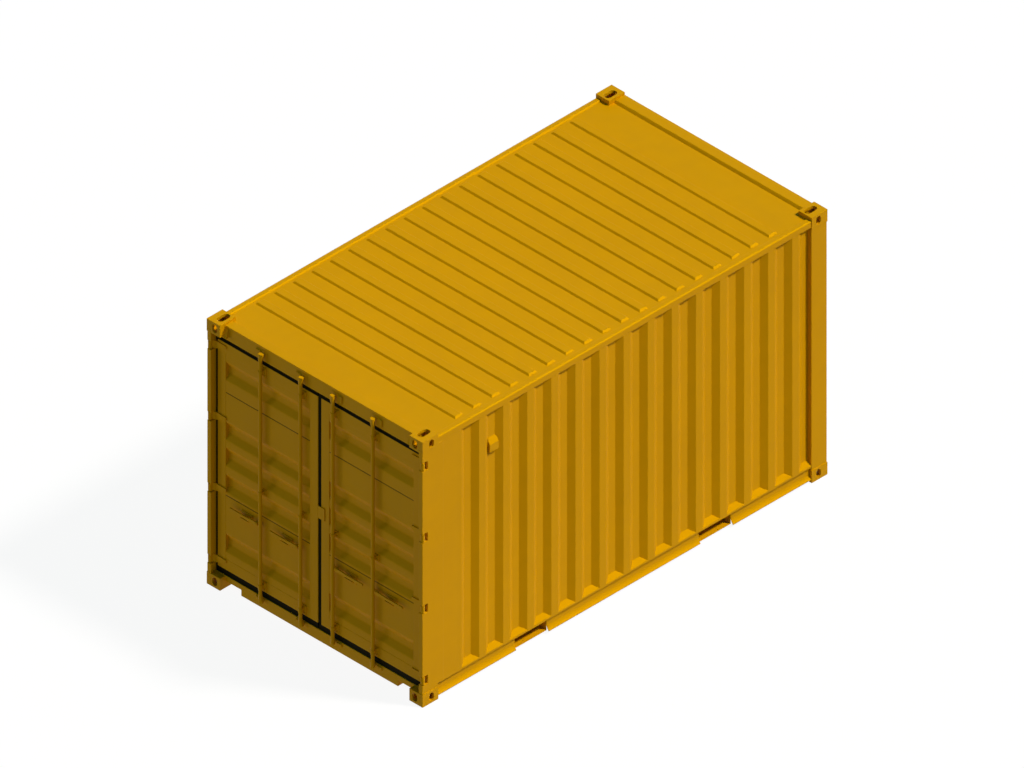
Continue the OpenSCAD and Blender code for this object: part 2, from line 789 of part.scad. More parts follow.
end_castings();  // bottom_castings_door_end
to_rear() end_castings();  // bottom_castings_rear_end
to_top() end_castings();  // top_castings_door_end
to_top() to_rear() end_castings();  // top_castings_rear_end
door_posts();
rear_posts();
door_header();
door_sill();
rear_header();
rear_sill();
mirror([1, 0, 0]) right_bottom_rail();  // left_bottom_rail
right_bottom_rail();
top_side_rails();
mirror([1, 0, 0]) right_wall();  // left_wall
right_wall();
rear_wall();
roof();
floor_boards();
cross_members();
fork_pockets();
bar_keepers();
hinge_pins();
wall_vents();
mirror([1, 0, 0]) right_door_frame();  // left_door_frame
mirror([1, 0, 0]) right_door_panel();  // left_door_panel
mirror([1, 0, 0]) door_seal(leaf_inner_x);  // left_door_seal
mirror([1, 0, 0]) right_hinge_blades();  // left_hinge_blades
mirror([1, 0, 0]) right_bar_brackets();  // left_bar_brackets
mirror([1, 0, 0]) right_handle_catches();  // left_handle_catches
right_door_frame();
right_door_panel();
door_seal(-9);  // right_door_seal
right_hinge_blades();
right_bar_brackets();
right_handle_catches();
meeting_plate();
mirror([1, 0, 0]) locking_bar(outer_bar_x);  // left_outer_bar
mirror([1, 0, 0]) locking_bar(inner_bar_x);  // left_inner_bar
locking_bar(inner_bar_x);  // right_inner_bar
locking_bar(outer_bar_x);  // right_outer_bar
mirror([1, 0, 0]) handle(outer_bar_x);  // left_outer_handle
mirror([1, 0, 0]) handle(inner_bar_x);  // left_inner_handle
handle(inner_bar_x);  // right_inner_handle
handle(outer_bar_x);  // right_outer_handle
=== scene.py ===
"""Dresses a yellow shipping container: softened steel, paint, seals, floor, fittings and a plain studio."""

from __future__ import annotations

import json
import logging
import math
from dataclasses import dataclass
from enum import Enum
from typing import Any, Optional, Sequence

import bmesh
import bpy
from mathutils import Matrix, Vector

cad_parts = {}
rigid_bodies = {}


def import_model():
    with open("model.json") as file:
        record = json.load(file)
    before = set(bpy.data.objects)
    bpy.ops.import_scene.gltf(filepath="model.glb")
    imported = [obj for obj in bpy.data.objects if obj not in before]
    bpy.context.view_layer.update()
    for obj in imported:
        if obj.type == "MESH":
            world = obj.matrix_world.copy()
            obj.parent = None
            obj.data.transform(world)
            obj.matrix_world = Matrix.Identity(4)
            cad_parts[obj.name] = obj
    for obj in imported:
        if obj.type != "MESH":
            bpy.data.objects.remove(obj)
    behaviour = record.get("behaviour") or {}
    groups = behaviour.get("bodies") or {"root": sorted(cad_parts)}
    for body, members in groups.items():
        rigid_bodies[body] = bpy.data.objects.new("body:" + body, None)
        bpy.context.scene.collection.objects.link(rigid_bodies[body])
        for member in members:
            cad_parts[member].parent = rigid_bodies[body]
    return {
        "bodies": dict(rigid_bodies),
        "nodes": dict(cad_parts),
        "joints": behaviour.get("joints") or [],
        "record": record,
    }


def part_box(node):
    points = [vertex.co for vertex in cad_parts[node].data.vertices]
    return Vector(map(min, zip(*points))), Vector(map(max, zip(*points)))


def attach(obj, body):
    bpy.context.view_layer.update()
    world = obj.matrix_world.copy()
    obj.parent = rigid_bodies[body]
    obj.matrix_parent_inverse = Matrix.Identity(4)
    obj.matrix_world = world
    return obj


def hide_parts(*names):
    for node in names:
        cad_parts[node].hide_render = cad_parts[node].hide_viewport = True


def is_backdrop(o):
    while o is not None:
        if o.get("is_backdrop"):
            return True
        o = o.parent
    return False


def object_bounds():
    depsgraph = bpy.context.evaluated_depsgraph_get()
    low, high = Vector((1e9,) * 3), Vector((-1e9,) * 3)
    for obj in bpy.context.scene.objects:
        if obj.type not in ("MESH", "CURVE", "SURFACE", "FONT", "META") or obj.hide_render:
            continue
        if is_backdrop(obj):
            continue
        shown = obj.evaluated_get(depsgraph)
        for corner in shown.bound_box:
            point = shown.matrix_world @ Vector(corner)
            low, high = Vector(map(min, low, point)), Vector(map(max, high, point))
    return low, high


LOG = logging.getLogger("container")
MM = 0.001
WHITE = (1.0, 1.0, 1.0, 1.0)
CASTINGS = ("bottom_castings_door_end", "bottom_castings_rear_end", "top_castings_door_end",
            "top_castings_rear_end")

# Corners of a node's loose triangles within this distance are one corner.
MERGE = 0.02 * MM

# Doubles and slivers below this length are closed.
CLOSE = 0.01 * MM

# Bends in degrees: below the first a face counts as flat, and below the second its shading is smooth.
FLAT_BEND = 0.5
SMOOTH_BEND = 32.0


class Side(Enum):
    """The two sides of the container, seen from in front of the doors."""

    LEFT = -1
    RIGHT = 1

    @property
    def word(self) -> str:
        """The side's name as it stands in the names of nodes and bodies."""
        return self.name.lower()


class Value:
    """A number on a node's socket, which adds Math nodes when it is used in an expression."""

    def __init__(self, graph: "Graph", socket: bpy.types.NodeSocket) -> None:
        """Wraps one output socket.

        Args:
            graph: The material's graph.
            socket: The socket that carries the number.
        """
        self.graph = graph
        self.socket = socket

    def _math(self, operation: str, first: Any, second: Any) -> "Value":
        """Adds one Math node.

        Args:
            operation: The Math node's operation.
            first: Its first value or link.
            second: Its second value or link.

        Returns:
            The node's result.
        """
        made = self.graph.node("ShaderNodeMath", {"operation": operation}, {0: first, 1: second})
        return Value(self.graph, made.outputs[0])

    def __add__(self, other: Any) -> "Value":
        """Sum."""
        return self._math("ADD", self, other)

    __radd__ = __add__

    def __sub__(self, other: Any) -> "Value":
        """Difference."""
        return self._math("SUBTRACT", self, other)

    def __rsub__(self, other: Any) -> "Value":
        """Difference, the other way round."""
        return self._math("SUBTRACT", other, self)

    def __mul__(self, other: Any) -> "Value":
        """Product."""
        return self._math("MULTIPLY", self, other)

    __rmul__ = __mul__

    def at_most(self, other: Any) -> "Value":
        """The smaller of two values."""
        return self._math("MINIMUM", self, other)


class Graph:
    """The node graph of one material or world."""

    def __init__(self, owner: Any) -> None:
        """Empties the owner's node tree.

        Args:
            owner: A material or world.
        """
        owner.use_nodes = True
        self.tree = owner.node_tree
        self.tree.nodes.clear()

    def node(self, kind: str, settings: Optional[dict] = None,
             sockets: Optional[dict] = None) -> bpy.types.Node:
        """Adds a node.

        Args:
            kind: The node's type.
            settings: Its properties, set before its sockets.
            sockets: Values or links by socket name or number.

        Returns:
            The new node.
        """
        made = self.tree.nodes.new(kind)
        for name, value in (settings or {}).items():
            setattr(made, name, value)
        for key, value in (sockets or {}).items():
            self._feed(made.inputs[key], value)
        return made

    def value(self, kind: str, settings: Optional[dict] = None, sockets: Optional[dict] = None,
              output: Any = 0) -> Value:
        """Adds a node and wraps one of its outputs."""
        return Value(self, self.node(kind, settings, sockets).outputs[output])

    def _feed(self, socket: bpy.types.NodeSocket, value: Any) -> None:
        """Links or sets one input socket.

        Args:
            socket: The input socket.
            value: A value or output socket to link, or a plain setting.
        """
        if isinstance(value, Value):
            self.tree.links.new(value.socket, socket)
        elif isinstance(value, bpy.types.NodeSocket):
            self.tree.links.new(value, socket)
        else:
            socket.default_value = value

    def place(self, scale: Sequence[float] = (1, 1, 1)) -> bpy.types.NodeSocket:
        """Reads object coordinates, stretched along each axis.

        Args:
            scale: The stretch along x, y and z.

        Returns:
            The socket of the stretched place.
        """
        where = self.node("ShaderNodeTexCoord")
        turned = self.node("ShaderNodeMapping", {"vector_type": "POINT"},
                           {"Vector": where.outputs["Object"], "Scale": tuple(scale)})
        return turned.outputs["Vector"]

    def noise(self, scale: float, detail: float = 3.0, stretch: Sequence[float] = (1, 1, 1)) -> Value:
        """A noise pattern of so many waves a metre, about 0.5 on average."""
        return self.value("ShaderNodeTexNoise", {"noise_dimensions": "3D"},
                          {"Vector": self.place(stretch), "Scale": scale, "Detail": detail}, output=0)

    def mix(self, share: Any, first: Any, second: Any) -> bpy.types.NodeSocket:
        """Mixes two colours.

        Args:
            share: The second colour's share, from 0 to 1.
            first: The first colour.
            second: The second colour.

        Returns:
            The socket of the mixed colour.
        """
        made = self.node("ShaderNodeMix", {"data_type": "RGBA"})
        for key, value in ((0, share), (6, first), (7, second)):
            self._feed(made.inputs[key], value)
        return made.outputs[2]

    def bump(self, height: Value, distance: float, strength: float = 1.0) -> bpy.types.NodeSocket:
        """Turns a height pattern into a normal."""
        return self.node("ShaderNodeBump", None,
                         {"Height": height, "Distance": distance, "Strength": strength}).outputs["Normal"]

    def surface(self, sockets: dict) -> None:
        """Ends the graph in one principled surface."""
        shader = self.node("ShaderNodeBsdfPrincipled", None, sockets)
        self.node("ShaderNodeOutputMaterial", None, {"Surface": shader.outputs[0]})


def linear(red: int, green: int, blue: int) -> tuple[float, float, float, float]:
    """Turns a screen colour into the linear light that the shaders use.

    Args:
        red: Red from 0 to 255.
        green: Green from 0 to 255.
        blue: Blue from 0 to 255.

    Returns:
        The linear colour with full alpha.
    """
    def channel(level: int) -> float:
        """One channel's linear light."""
        share = level / 255
        return share / 12.92 if share <= 0.04045 else ((share + 0.055) / 1.055) ** 2.4
    return (channel(red), channel(green), channel(blue), 1.0)


@dataclass(frozen=True)
class Paint:
    """Yellow paint on steel, with a fine orange peel and a slight drift in tone."""

    name: str = "yellow_paint"
    full: tuple = linear(212, 152, 0)
    thin: tuple = linear(203, 145, 0)
    gloss_tint: tuple = (1.0, 0.66, 0.0, 1.0)
    gloss: float = 0.07
    roughness: float = 0.42
    roughness_drift: float = 0.16
    drift_waves: float = 0.9
    cloud_waves: float = 7.0
    peel_waves: float = 260.0
    drift_share: float = 0.6
    full_from: float = 0.35
    contrast: float = 2.2
    peel: float = 0.15 * MM
    peel_strength: float = 0.6

    def build(self) -> bpy.types.Material:
        """Makes the material.

        Returns:
            The new material.
        """
        made = bpy.data.materials.new(self.name)
        graph = Graph(made)
        drift = graph.noise(self.drift_waves, 4.0)
        cloud = graph.noise(self.cloud_waves, 5.0)
        grain = graph.noise(self.peel_waves, 2.0)
        tone = drift * self.drift_share + cloud * (1 - self.drift_share)
        tone = (tone - self.full_from) * self.contrast
        graph.surface({
            "Base Color": graph.mix(tone.at_most(1.0), self.thin, self.full),
            "Roughness": self.roughness + (cloud - 0.5) * self.roughness_drift,
            "Specular IOR Level": self.gloss,
            "Specular Tint": self.gloss_tint,
            "Normal": graph.bump(grain, self.peel, self.peel_strength),
        })
        return made


@dataclass(frozen=True)
class CastPaint(Paint):
    """The same paint over the rough skin of a steel casting."""

    name: str = "casting_paint"
    peel: float = 0.6 * MM


@dataclass(frozen=True)
class Rubber:
    """Black door seal."""

    name: str = "seal_rubber"
    fresh: tuple = linear(12, 11, 2)
    dusty: tuple = linear(21, 18, 4)
    gloss_tint: tuple = (1.0, 0.8, 0.3, 1.0)
    gloss: float = 0.03
    roughness: float = 0.62
    dust_roughness: float = 0.2
    dust_waves: float = 14.0
    grain_waves: float = 420.0
    grain: float = 0.1 * MM
    grain_strength: float = 0.5

    def build(self) -> bpy.types.Material:
        """Makes the material.

        Returns:
            The new material.
        """
        made = bpy.data.materials.new(self.name)
        graph = Graph(made)
        dust = graph.noise(self.dust_waves, 5.0)
        fine = graph.noise(self.grain_waves, 2.0)
        graph.surface({
            "Base Color": graph.mix(dust, self.fresh, self.dusty),
            "Roughness": self.roughness + dust * self.dust_roughness,
            "Specular IOR Level": self.gloss,
            "Specular Tint": self.gloss_tint,
            "Normal": graph.bump(fine, self.grain, self.grain_strength),
        })
        return made


@dataclass(frozen=True)
class Plywood:
    """Varnished floor plywood with its grain across the container."""

    name: str = "floor_plywood"
    pale: tuple = linear(176, 128, 84)
    dark: tuple = linear(112, 72, 42)
    ring_waves: float = 5.0
    ring_stretch: tuple = (0.35, 6.0, 6.0)
    ring_share: float = 0.75
    fibre_waves: float = 60.0
    fibre_stretch: tuple = (0.06, 1.0, 1.0)
    fibre_share: float = 0.4
    dark_shift: float = 0.15
    roughness: float = 0.42
    fibre_roughness: float = 0.22
    grain: float = 0.4 * MM
    grain_strength: float = 0.5

    def build(self) -> bpy.types.Material:
        """Makes the material.

        Returns:
            The new material.
        """
        made = bpy.data.materials.new(self.name)
        graph = Graph(made)
        rings = graph.noise(self.ring_waves, 6.0, self.ring_stretch)
        fibre = graph.noise(self.fibre_waves, 4.0, self.fibre_stretch)
        share = rings * self.ring_share + fibre * self.fibre_share
        graph.surface({
            "Base Color": graph.mix((share - self.dark_shift).at_most(1.0), self.dark, self.pale),
            "Roughness": self.roughness + fibre * self.fibre_roughness,
            "Normal": graph.bump(fibre, self.grain, self.grain_strength),
        })
        return made


class Finish(Enum):
    """The finishes on the container."""

    PAINT = Paint()
    CASTING = CastPaint()
    SEAL = Rubber()
    FLOOR = Plywood()


class Palette:
    """Makes each finish once."""

    SLOTS = {Finish.PAINT: "yellow_paint", Finish.CASTING: "yellow_paint", Finish.SEAL: "seal_rubber",
             Finish.FLOOR: "floor_plywood"}

    def __init__(self) -> None:
        """Builds the materials of all finishes."""
        self.materials = {finish: finish.value.build() for finish in Finish}

    def dress(self, piece: bpy.types.Object, finish: Finish) -> None:
        """Gives a piece one finish.

        Args:
            piece: A mesh object.
            finish: The finish that covers it.
        """
        piece.data.materials.clear()
        piece.data.materials.append(self.materials[finish])


def add_object(name: str, shape: bmesh.types.BMesh) -> bpy.types.Object:
    """Turns a bmesh into a linked object at the origin.

    Args:
        name: The object's name.
        shape: The bmesh, which is freed.

    Returns:
        The new object.
    """
    mesh = bpy.data.meshes.new(name)
    shape.to_mesh(mesh)
    shape.free()
    made = bpy.data.objects.new(name, mesh)
    bpy.context.scene.collection.objects.link(made)
    return made


def shade(piece: bpy.types.Object) -> None:
    """Smooths the shading of slight bends and keeps flat faces flat.

    Args:
        piece: A mesh object.
    """
    for face in piece.data.polygons:
        face.use_smooth = True
    piece.data.set_sharp_from_angle(angle=math.radians(SMOOTH_BEND))
    piece.modifiers.new("even_normals", "WEIGHTED_NORMAL").keep_sharp = True


@dataclass
class SoftenedSteel:
    """A steel piece of the frame with its edges rounded, as rolled, folded or cast steel has them."""

    node: str
    body: str
    radius: float
    finish: Finish = Finish.PAINT
    least_angle: float = 40.0
    most_angle: float = 180.0
    segments: int = 2
    upper_skin: bool = False
    skin_slope: float = 0.3

    def build(self, frame: dict, palette: Palette) -> bpy.types.Object:
        """Copies the node's shape, rounds its edges and puts it in the node's place.

        Args:
            frame: The loaded frame.
            palette: The materials.

        Returns:
            The new piece.
        """
        shape = bmesh.new()
        shape.from_mesh(frame["nodes"][self.node].data)
        bmesh.ops.remove_doubles(shape, verts=shape.verts, dist=MERGE)
        bmesh.ops.dissolve_limit(shape, angle_limit=math.radians(FLAT_BEND), verts=shape.verts,
                                 edges=shape.edges)
        edges = [e for e in shape.edges if len(e.link_faces) == 2 and self._rounds(e)]
        bmesh.ops.bevel(shape, geom=edges, offset=self.radius, offset_type="OFFSET", affect="EDGES",
                        segments=self.segments, profile=0.5, clamp_overlap=True, material=-1)
        bmesh.ops.dissolve_degenerate(shape, dist=CLOSE, edges=shape.edges)
        piece = add_object(f"{self.node}_steel", shape)
        shade(piece)
        palette.dress(piece, self.finish)
        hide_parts(self.node)
        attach(piece, self.body)
        return piece

    def _rounds(self, edge: bmesh.types.BMEdge) -> bool:
        """Says whether an edge is rounded.

        Args:
            edge: An edge between two faces.

        Returns:
            Whether its bend lies in the range, and its faces on the upper skin where only that is rounded.
        """
        bend = math.degrees(edge.calc_face_angle(0.0))
        if self.upper_skin and min(face.normal.z for face in edge.link_faces) < self.skin_slope:
            return False
        return self.least_angle <= bend <= self.most_angle


@dataclass
class Container:
    """The steel frame, sheets and door gear, each softened by its own radius in metres."""

    cast_radius: float = 7 * MM
    frame_radius: float = 3 * MM
    fold_radius: float = 9 * MM
    rib_radius: float = 5 * MM
    gear_radius: float = 1.6 * MM
    least_fold: float = 12.0
    most_fold: float = 62.0
    castings: Sequence[str] = CASTINGS
    members: Sequence[str] = ("door_posts", "rear_posts", "door_header", "door_sill", "rear_header",
                              "rear_sill", "top_side_rails")
    plates: Sequence[str] = ("left_bottom_rail", "right_bottom_rail", "fork_pockets", "cross_members",
                             "bar_keepers", "hinge_pins")
    sheets: Sequence[str] = ("left_wall", "right_wall", "rear_wall")
    leaf_gear: Sequence[str] = ("hinge_blades", "bar_brackets", "handle_catches")

    def build(self, frame: dict, palette: Palette) -> list[bpy.types.Object]:
        """Builds every softened piece.

        Args:
            frame: The loaded frame.
            palette: The materials.

        Returns:
            The new pieces.
        """
        plan = [SoftenedSteel(n, "root", self.cast_radius, Finish.CASTING) for n in self.castings]
        plan += [SoftenedSteel(n, "root", self.frame_radius) for n in self.members]
        plan += [SoftenedSteel(n, "root", self.gear_radius) for n in self.plates]
        plan += [self._sheet(n, "root") for n in self.sheets]
        plan.append(SoftenedSteel("wall_vents", "root", self.gear_radius, least_angle=self.least_fold))
        plan.append(SoftenedSteel("roof", "root", self.rib_radius, least_angle=self.least_fold,
                                  most_angle=self.most_fold, segments=3, upper_skin=True))
        for side in Side:
            plan += self._door(side)
        plan.append(SoftenedSteel("meeting_plate", "right_door", self.gear_radius))
        return [part.build(frame, palette) for part in plan]

    def _sheet(self, node: str, body: str) -> SoftenedSteel:
        """A corrugated sheet, of which only the folds are rounded."""
        return SoftenedSteel(node, body, self.fold_radius, least_angle=self.least_fold,
                             most_angle=self.most_fold)

    def _door(self, side: Side) -> list[SoftenedSteel]:
        """Lists the pieces of one door leaf and its bars and handles.

        Args:
            side: The leaf's side.

        Returns:
            The pieces, still to be built.
        """
        door = f"{side.word}_door"
        plan = [
            SoftenedSteel(f"{door}_frame", door, self.frame_radius),
            self._sheet(f"{door}_panel", door),
        ]
        plan += [SoftenedSteel(f"{side.word}_{kind}", door, self.gear_radius) for kind in self.leaf_gear]
        for place in ("outer", "inner"):
            for kind in ("bar", "handle"):
                name = f"{side.word}_{place}_{kind}"
                plan.append(SoftenedSteel(name, name, self.gear_radius))
        return plan


class Shaper:
    """Adds simple solids to one bmesh, which becomes one piece."""

    def __init__(self) -> None:
        """Starts an empty shape."""
        self.shape = bmesh.new()

    def box(self, low: Vector, high: Vector, radius: float = 0.0) -> None:
        """Adds a box between two corners.

        Args:
            low: The lowest corner.
            high: The highest corner.
            radius: How far its edges are rounded.
        """
        made = bmesh.ops.create_cube(self.shape, size=1.0)["verts"]
        bmesh.ops.scale(self.shape, verts=made, vec=high - low)
        bmesh.ops.translate(self.shape, verts=made, vec=(low + high) / 2)
        if radius > 0:
            edges = list({edge for corner in made for edge in corner.link_edges})
            bmesh.ops.bevel(self.shape, geom=edges, offset=radius, offset_type="OFFSET", affect="EDGES",
                            segments=2, profile=0.5, clamp_overlap=True, material=-1)

    def _rod(self, start: Vector, end: Vector, radius: float, sides: int) -> list[bmesh.types.BMVert]:
        """Adds a closed prism between two points.

        Args:
            start: The middle of its first end.
            end: The middle of its other end.
            radius: Its radius to the corners.
            sides: Its number of sides.

        Returns:
            The corners of both ends.
        """
        line = end - start
        move = Matrix.Translation((start + end) / 2) @ line.to_track_quat("Z", "Y").to_matrix().to_4x4()
        made = bmesh.ops.create_cone(self.shape, cap_ends=True, segments=sides, radius1=radius,
                                     radius2=radius, depth=line.length, matrix=move)
        return made["verts"]

    def stud(self, foot: Vector, axis: Vector, radius: float, height: float, sides: int = 6,
             turned: float = 0.3) -> None:
        """Adds a bolt or rivet head: a short prism whose top edge is turned down.

        Args:
            foot: The middle of the face it sits on.
            axis: The direction it stands out.
            radius: Its radius to the corners.
            height: Its height.
            sides: Its number of sides.
            turned: The share of the height over which its top edge is turned down.
        """
        made = self._rod(foot, foot + axis * height, radius, sides)
        top = {corner for corner in made if (corner.co - foot).dot(axis) > height / 2}
        rim = [edge for corner in top for edge in corner.link_edges if edge.other_vert(corner) in top]
        bmesh.ops.bevel(self.shape, geom=list(set(rim)), offset=height * turned, offset_type="OFFSET",
                        affect="EDGES", segments=1, profile=0.5, clamp_overlap=True, material=-1)

    def bead(self, start: Vector, end: Vector, radius: float, ripple: float = 0.14, pitch: float = 0.007,
             taper: float = 0.35, sides: int = 8) -> None:
        """Adds a weld bead: a round bar with shallow ripples and tapered ends.

        Args:
            start: Where the bead starts.
            end: Where it ends.
            radius: Its middle radius.
            ripple: The share by which the radius rises and falls.
            pitch: The length of one ripple.
            taper: The share of the radius that is left at the ends.
            sides: The number of sides round the bar.
        """
        line = end - start
        steps = max(4, round(line.length / pitch * 2))
        bead = Shaper()
        bead._rod(start, end, radius, sides)
        along = [edge for edge in bead.shape.edges
                 if abs((edge.verts[0].co - edge.verts[1].co).dot(line)) > line.length_squared / 2]
        bmesh.ops.subdivide_edges(bead.shape, edges=along, cuts=steps - 1)
        for corner in bead.shape.verts:
            step = round((corner.co - start).dot(line) / line.length_squared * steps)
            middle = start + line * (step / steps)
            wide = 1 + (ripple if step % 2 else -ripple)
            wide *= taper if step in (0, steps) else 1.0
            corner.co = middle + (corner.co - middle) * wide
        self._take(bead)

    def _take(self, other: "Shaper") -> None:
        """Joins another shaper's solids to this one and empties the other.

        Args:
            other: The shaper that is used up.
        """
        mesh = bpy.data.meshes.new("taken")
        other.shape.to_mesh(mesh)
        other.shape.free()
        self.shape.from_mesh(mesh)
        bpy.data.meshes.remove(mesh)

    def done(self, name: str, body: str, finish: Finish, palette: Palette) -> bpy.types.Object:
        """Turns the shape into a dressed piece that rides on a body.

        Args:
            name: The piece's name.
            body: The body it moves with.
            finish: Its finish.
            palette: The materials.

        Returns:
            The new piece.
        """
        piece = add_object(name, self.shape)
        shade(piece)
        palette.dress(piece, finish)
        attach(piece, body)
        return piece


def solids(node: bpy.types.Object) -> list[tuple[Vector, Vector]]:
    """Finds the box of each separate solid of a node.

    Args:
        node: A node of the frame.

    Returns:
        The lowest and highest corner of each solid.
    """
    shape = bmesh.new()
    shape.from_mesh(node.data)
    bmesh.ops.remove_doubles(shape, verts=shape.verts, dist=MERGE)
    left = set(shape.verts)
    boxes = []
    while left:
        found = {left.pop()}
        waiting = list(found)
        while waiting:
            corner = waiting.pop()
            for edge in corner.link_edges:
                other = edge.other_vert(corner)
                if other in left:
                    left.remove(other)
                    found.add(other)
                    waiting.append(other)
        places = [corner.co for corner in found]
        boxes.append((Vector(map(min, *places)), Vector(map(max, *places))))
    shape.free()
    return boxes


@dataclass
class WeldSeams:
    """Weld beads where the posts, rails, header and sills meet the corner castings."""

    radius: float = 4 * MM
    notch_top: float = 78 * MM
    side_reach: float = 172 * MM
    least_length: float = 10 * MM
    front_band: float = 30 * MM
    posts: Sequence[str] = ("door_posts", "rear_posts")
    end_members: Sequence[str] = ("door_header", "door_sill", "rear_header", "rear_sill")
    castings: Sequence[str] = CASTINGS

    def build(self, frame: dict, palette: Palette) -> bpy.types.Object:
        """Lays every bead into one piece.

        Args:
            frame: The loaded frame.
            palette: The materials.

        Returns:
            The beads.
        """
        shaper = Shaper()
        corners = [box for name in self.castings for box in solids(frame["nodes"][name])]
        for name in self.posts:
            for low, high in solids(frame["nodes"][name]):
                self._round_post(shaper, low, high)
        for low, high in corners:
            self._beside_casting(shaper, low, high, frame)
        return shaper.done("weld_seams", "root", Finish.PAINT, palette)

    def _round_post(self, shaper: Shaper, low: Vector, high: Vector) -> None:
        """Lays beads along the outer foot and head of a post.

        Args:
            shaper: Takes the beads.
            low: The post's lowest corner.
            high: The post's highest corner.
        """
        outer = high.x if high.x > 0 else low.x
        end = low.y if low.y < 0 else high.y
        inner_x = low.x if high.x > 0 else high.x
        inner_y = high.y if low.y < 0 else low.y
        for level in (low.z, high.z):
            shaper.bead(Vector((inner_x, end, level)), Vector((outer, end, level)), self.radius)
            reach = end + math.copysign(min(abs(inner_y - end), self.side_reach), inner_y - end)
            shaper.bead(Vector((outer, end, level)), Vector((outer, reach, level)), self.radius)

    def _beside_casting(self, shaper: Shaper, low: Vector, high: Vector, frame: dict) -> None:
        """Lays the beads on a casting's inner face, where the header or sill meets it.

        Args:
            shaper: Takes the beads.
            low: The casting's lowest corner.
            high: The casting's highest corner.
            frame: The loaded frame.
        """
        inner = low.x if high.x > 0 else high.x
        for name in self.end_members:
            first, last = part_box(name)
            near = first.y < high.y and last.y > low.y and first.z < high.z and last.z > low.z
            if not near:
                continue
            face = first.y if first.y < 0 else last.y
            face = max(low.y, min(high.y, face))
            bottom = max(first.z, low.z) + self.radius
            top = min(last.z, high.z) - self.radius
            if name == "door_sill":
                bottom = max(bottom, self.notch_top)
            foot = Vector((inner, face, bottom))
            head = Vector((inner, face, top))
            if name == "door_header":
                head.y = self._upper_front(frame["nodes"][name])
            if top - bottom > self.least_length:
                shaper.bead(foot, head, self.radius)

    def _upper_front(self, node: bpy.types.Object) -> float:
        """Finds how far forward the upper edge of a door end's member lies.

        Args:
            node: The member's node.

        Returns:
            The y of its front edge at the highest level of that front.
        """
        level = max(corner.co.z for corner in node.data.vertices)
        return min(corner.co.y for corner in node.data.vertices if level - corner.co.z < self.front_band)


@dataclass
class BracketBolts:
    """Hexagon bolts that hold the bearing brackets of the bars to the leaves."""

    radius: float = 9 * MM
    height: float = 6 * MM
    plate: float = 8 * MM
    from_edge: tuple[float, float] = (14 * MM, 13 * MM)

    def build(self, side: Side, frame: dict, palette: Palette) -> bpy.types.Object:
        """Sets four bolts in every bracket of one leaf.

        Args:
            side: The leaf's side.
            frame: The loaded frame.
            palette: The materials.

        Returns:
            The bolts.
        """
        shaper = Shaper()
        out = Vector((0, -1, 0))
        for low, high in solids(frame["nodes"][f"{side.word}_bar_brackets"]):
            face = high.y - self.plate
            for x in (low.x + self.from_edge[0], high.x - self.from_edge[0]):
                for z in (low.z + self.from_edge[1], high.z - self.from_edge[1]):
                    shaper.stud(Vector((x, face, z)), out, self.radius, self.height)
        return shaper.done(f"{side.word}_bracket_bolts", f"{side.word}_door", Finish.PAINT, palette)


@dataclass
class SeamSealant:
    """Black strips in the two lap seams of a leaf's sheet: painted shade that darkens the seam grooves."""

    heights: tuple[float, float] = (0.810, 0.309)
    seam: float = 8 * MM
    seam_depth: float = 2 * MM
    below_face: float = 0.4 * MM
    edge_gap: float = 0.3 * MM
    rounding: float = 0.6 * MM

    def build(self, side: Side, palette: Palette) -> bpy.types.Object:
        """Lays a strip into each seam of one leaf.

        Args:
            side: The leaf's side.
            palette: The materials.

        Returns:
            The strips.
        """
        low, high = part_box(f"{side.word}_door_panel")
        shaper = Shaper()
        for share in self.heights:
            foot = low.z + share * (high.z - low.z)
            near = Vector((low.x + self.edge_gap, low.y + self.below_face, foot + self.edge_gap))
            far = Vector((high.x - self.edge_gap, low.y + self.seam_depth, foot + self.seam - self.edge_gap))
            shaper.box(near, far, self.rounding)
        # The strips take the black seal finish as painted shade: they darken the seam grooves, where there is
        # only shade.
        return shaper.done(f"{side.word}_seam_sealant", f"{side.word}_door", Finish.SEAL, palette)


